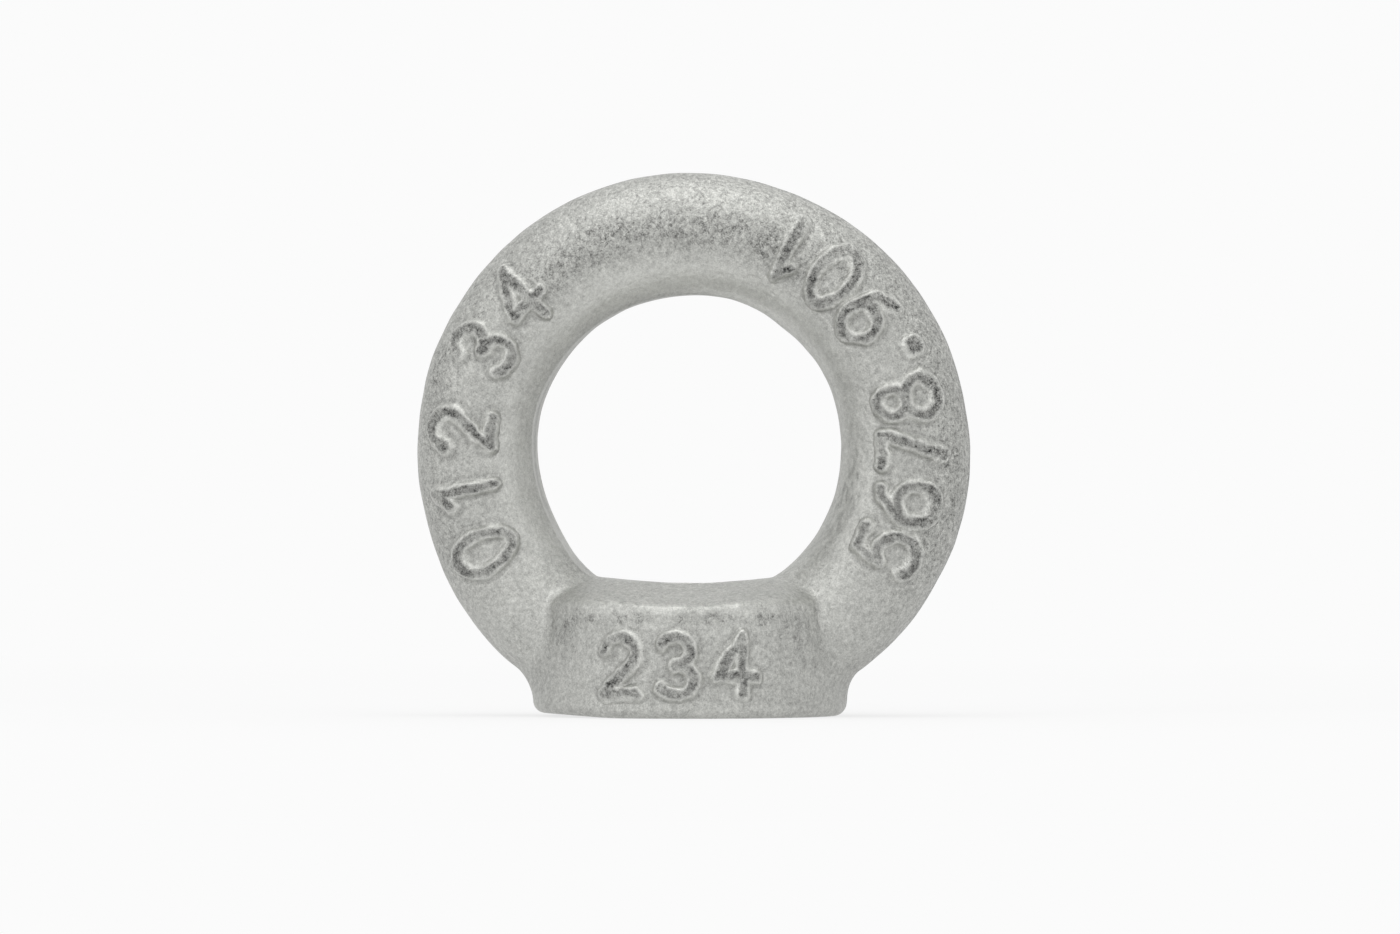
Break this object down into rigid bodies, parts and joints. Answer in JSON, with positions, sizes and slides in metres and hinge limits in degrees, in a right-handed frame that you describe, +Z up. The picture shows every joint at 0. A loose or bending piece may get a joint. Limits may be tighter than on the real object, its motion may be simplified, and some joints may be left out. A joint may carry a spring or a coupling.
{
  "type": "lifting eye nut",
  "caption": "Forged lifting eye nut: a round ring with an oval section rises from a round tapped collar, for lifting with a hook or shackle.",
  "frame": {"origin": "centre of the flat base face, on the thread's axis", "axes": "+Z up along the thread towards the ring; the ring lies in the XZ plane, so the eye is open along Y; +X to the right as seen from the front (-Y)"},
  "size_m": [0.054, 0.0308, 0.053],
  "materials": {
    "zinc_plated_steel": "matt zinc over a rough forged skin, with fine pits and dark specks"
  },
  "bodies": {
    "root": {"eye_nut": "zinc_plated_steel"}
  },
  "joints": []
}
